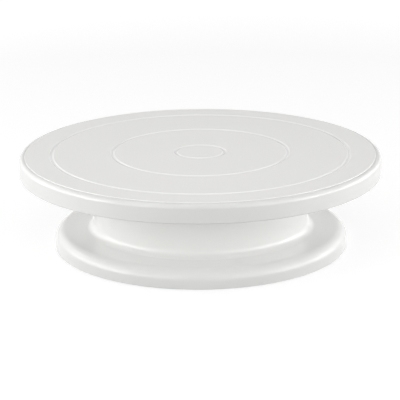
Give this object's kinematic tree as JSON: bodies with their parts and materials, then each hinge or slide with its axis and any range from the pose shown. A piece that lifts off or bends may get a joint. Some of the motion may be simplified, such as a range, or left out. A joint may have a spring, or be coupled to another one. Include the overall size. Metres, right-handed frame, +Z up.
{
  "type": "cake decorating turntable",
  "caption": "Pedestal turntable: a thin round plate with shallow guide rings turns on a caged ball bearing above a low flared base.",
  "frame": {"origin": "centre of the plane that the feet stand on", "axes": "+Z up along the axis that the plate turns about; +X runs through foot_1 and bearing_ball_01"},
  "size_m": [0.28, 0.28, 0.074],
  "materials": {
    "plate_plastic": "white plastic, satin on the flat top and glossy on the rim",
    "base_plastic": "glossy white plastic",
    "race_steel": "ground steel with a light film of grease",
    "ball_steel": "polished bearing steel",
    "cage_plastic": "natural nylon",
    "pin_steel": "turned steel",
    "bush_plastic": "natural acetal",
    "plated_steel": "bright zinc plate",
    "foot_rubber": "matt grey rubber"
  },
  "bodies": {
    "base": {"base_shell": "base_plastic", "lower_race": "race_steel", "pivot_bush": "bush_plastic", "foot_1": "foot_rubber", "foot_2": "foot_rubber", "foot_3": "foot_rubber", "foot_4": "foot_rubber", "foot_5": "foot_rubber", "foot_6": "foot_rubber"},
    "plate": {"turntable_plate": "plate_plastic", "upper_race": "race_steel", "pivot_pin": "pin_steel", "retaining_washer": "plated_steel", "retaining_screw": "plated_steel"},
    "cage": {"ball_cage": "cage_plastic"},
    "ball_01": {"bearing_ball_01": "ball_steel"},
    "ball_02": {"bearing_ball_02": "ball_steel"},
    "ball_03": {"bearing_ball_03": "ball_steel"},
    "ball_04": {"bearing_ball_04": "ball_steel"},
    "ball_05": {"bearing_ball_05": "ball_steel"},
    "ball_06": {"bearing_ball_06": "ball_steel"},
    "ball_07": {"bearing_ball_07": "ball_steel"},
    "ball_08": {"bearing_ball_08": "ball_steel"},
    "ball_09": {"bearing_ball_09": "ball_steel"},
    "ball_10": {"bearing_ball_10": "ball_steel"},
    "ball_11": {"bearing_ball_11": "ball_steel"},
    "ball_12": {"bearing_ball_12": "ball_steel"},
    "ball_13": {"bearing_ball_13": "ball_steel"},
    "ball_14": {"bearing_ball_14": "ball_steel"},
    "ball_15": {"bearing_ball_15": "ball_steel"},
    "ball_16": {"bearing_ball_16": "ball_steel"}
  },
  "joints": [
    {"name": "plate_spin", "type": "hinge", "parent": "base", "child": "plate", "pos_m": [0, 0, 0.0615], "axis": [0, 0, 1], "continuous": true},
    {"name": "cage_orbit", "type": "hinge", "parent": "base", "child": "cage", "pos_m": [0, 0, 0.06575], "axis": [0, 0, 1], "continuous": true},
    {"name": "ball_roll_01", "type": "hinge", "parent": "cage", "child": "ball_01", "pos_m": [0.062, 0, 0.06575], "axis": [1, 0, 0], "continuous": true},
    {"name": "ball_roll_02", "type": "hinge", "parent": "cage", "child": "ball_02", "pos_m": [0.05728, 0.02373, 0.06575], "axis": [0.9239, 0.3827, 0], "continuous": true},
    {"name": "ball_roll_03", "type": "hinge", "parent": "cage", "child": "ball_03", "pos_m": [0.04384, 0.04384, 0.06575], "axis": [0.7071, 0.7071, 0], "continuous": true},
    {"name": "ball_roll_04", "type": "hinge", "parent": "cage", "child": "ball_04", "pos_m": [0.02373, 0.05728, 0.06575], "axis": [0.3827, 0.9239, 0], "continuous": true},
    {"name": "ball_roll_05", "type": "hinge", "parent": "cage", "child": "ball_05", "pos_m": [0, 0.062, 0.06575], "axis": [0, 1, 0], "continuous": true},
    {"name": "ball_roll_06", "type": "hinge", "parent": "cage", "child": "ball_06", "pos_m": [-0.02373, 0.05728, 0.06575], "axis": [-0.3827, 0.9239, 0], "continuous": true},
    {"name": "ball_roll_07", "type": "hinge", "parent": "cage", "child": "ball_07", "pos_m": [-0.04384, 0.04384, 0.06575], "axis": [-0.7071, 0.7071, 0], "continuous": true},
    {"name": "ball_roll_08", "type": "hinge", "parent": "cage", "child": "ball_08", "pos_m": [-0.05728, 0.02373, 0.06575], "axis": [-0.9239, 0.3827, 0], "continuous": true},
    {"name": "ball_roll_09", "type": "hinge", "parent": "cage", "child": "ball_09", "pos_m": [-0.062, 0, 0.06575], "axis": [-1, 0, 0], "continuous": true},
    {"name": "ball_roll_10", "type": "hinge", "parent": "cage", "child": "ball_10", "pos_m": [-0.05728, -0.02373, 0.06575], "axis": [-0.9239, -0.3827, 0], "continuous": true},
    {"name": "ball_roll_11", "type": "hinge", "parent": "cage", "child": "ball_11", "pos_m": [-0.04384, -0.04384, 0.06575], "axis": [-0.7071, -0.7071, 0], "continuous": true},
    {"name": "ball_roll_12", "type": "hinge", "parent": "cage", "child": "ball_12", "pos_m": [-0.02373, -0.05728, 0.06575], "axis": [-0.3827, -0.9239, 0], "continuous": true},
    {"name": "ball_roll_13", "type": "hinge", "parent": "cage", "child": "ball_13", "pos_m": [0, -0.062, 0.06575], "axis": [0, -1, 0], "continuous": true},
    {"name": "ball_roll_14", "type": "hinge", "parent": "cage", "child": "ball_14", "pos_m": [0.02373, -0.05728, 0.06575], "axis": [0.3827, -0.9239, 0], "continuous": true},
    {"name": "ball_roll_15", "type": "hinge", "parent": "cage", "child": "ball_15", "pos_m": [0.04384, -0.04384, 0.06575], "axis": [0.7071, -0.7071, 0], "continuous": true},
    {"name": "ball_roll_16", "type": "hinge", "parent": "cage", "child": "ball_16", "pos_m": [0.05728, -0.02373, 0.06575], "axis": [0.9239, -0.3827, 0], "continuous": true}
  ],
  "couplings": [
    {"joint": "cage_orbit", "follows": "plate_spin", "ratio": 0.5},
    {"joint": "ball_roll_01", "follows": "plate_spin", "ratio": -10.333},
    {"joint": "ball_roll_02", "follows": "plate_spin", "ratio": -10.333},
    {"joint": "ball_roll_03", "follows": "plate_spin", "ratio": -10.333},
    {"joint": "ball_roll_04", "follows": "plate_spin", "ratio": -10.333},
    {"joint": "ball_roll_05", "follows": "plate_spin", "ratio": -10.333},
    {"joint": "ball_roll_06", "follows": "plate_spin", "ratio": -10.333},
    {"joint": "ball_roll_07", "follows": "plate_spin", "ratio": -10.333},
    {"joint": "ball_roll_08", "follows": "plate_spin", "ratio": -10.333},
    {"joint": "ball_roll_09", "follows": "plate_spin", "ratio": -10.333},
    {"joint": "ball_roll_10", "follows": "plate_spin", "ratio": -10.333},
    {"joint": "ball_roll_11", "follows": "plate_spin", "ratio": -10.333},
    {"joint": "ball_roll_12", "follows": "plate_spin", "ratio": -10.333},
    {"joint": "ball_roll_13", "follows": "plate_spin", "ratio": -10.333},
    {"joint": "ball_roll_14", "follows": "plate_spin", "ratio": -10.333},
    {"joint": "ball_roll_15", "follows": "plate_spin", "ratio": -10.333},
    {"joint": "ball_roll_16", "follows": "plate_spin", "ratio": -10.333}
  ]
}
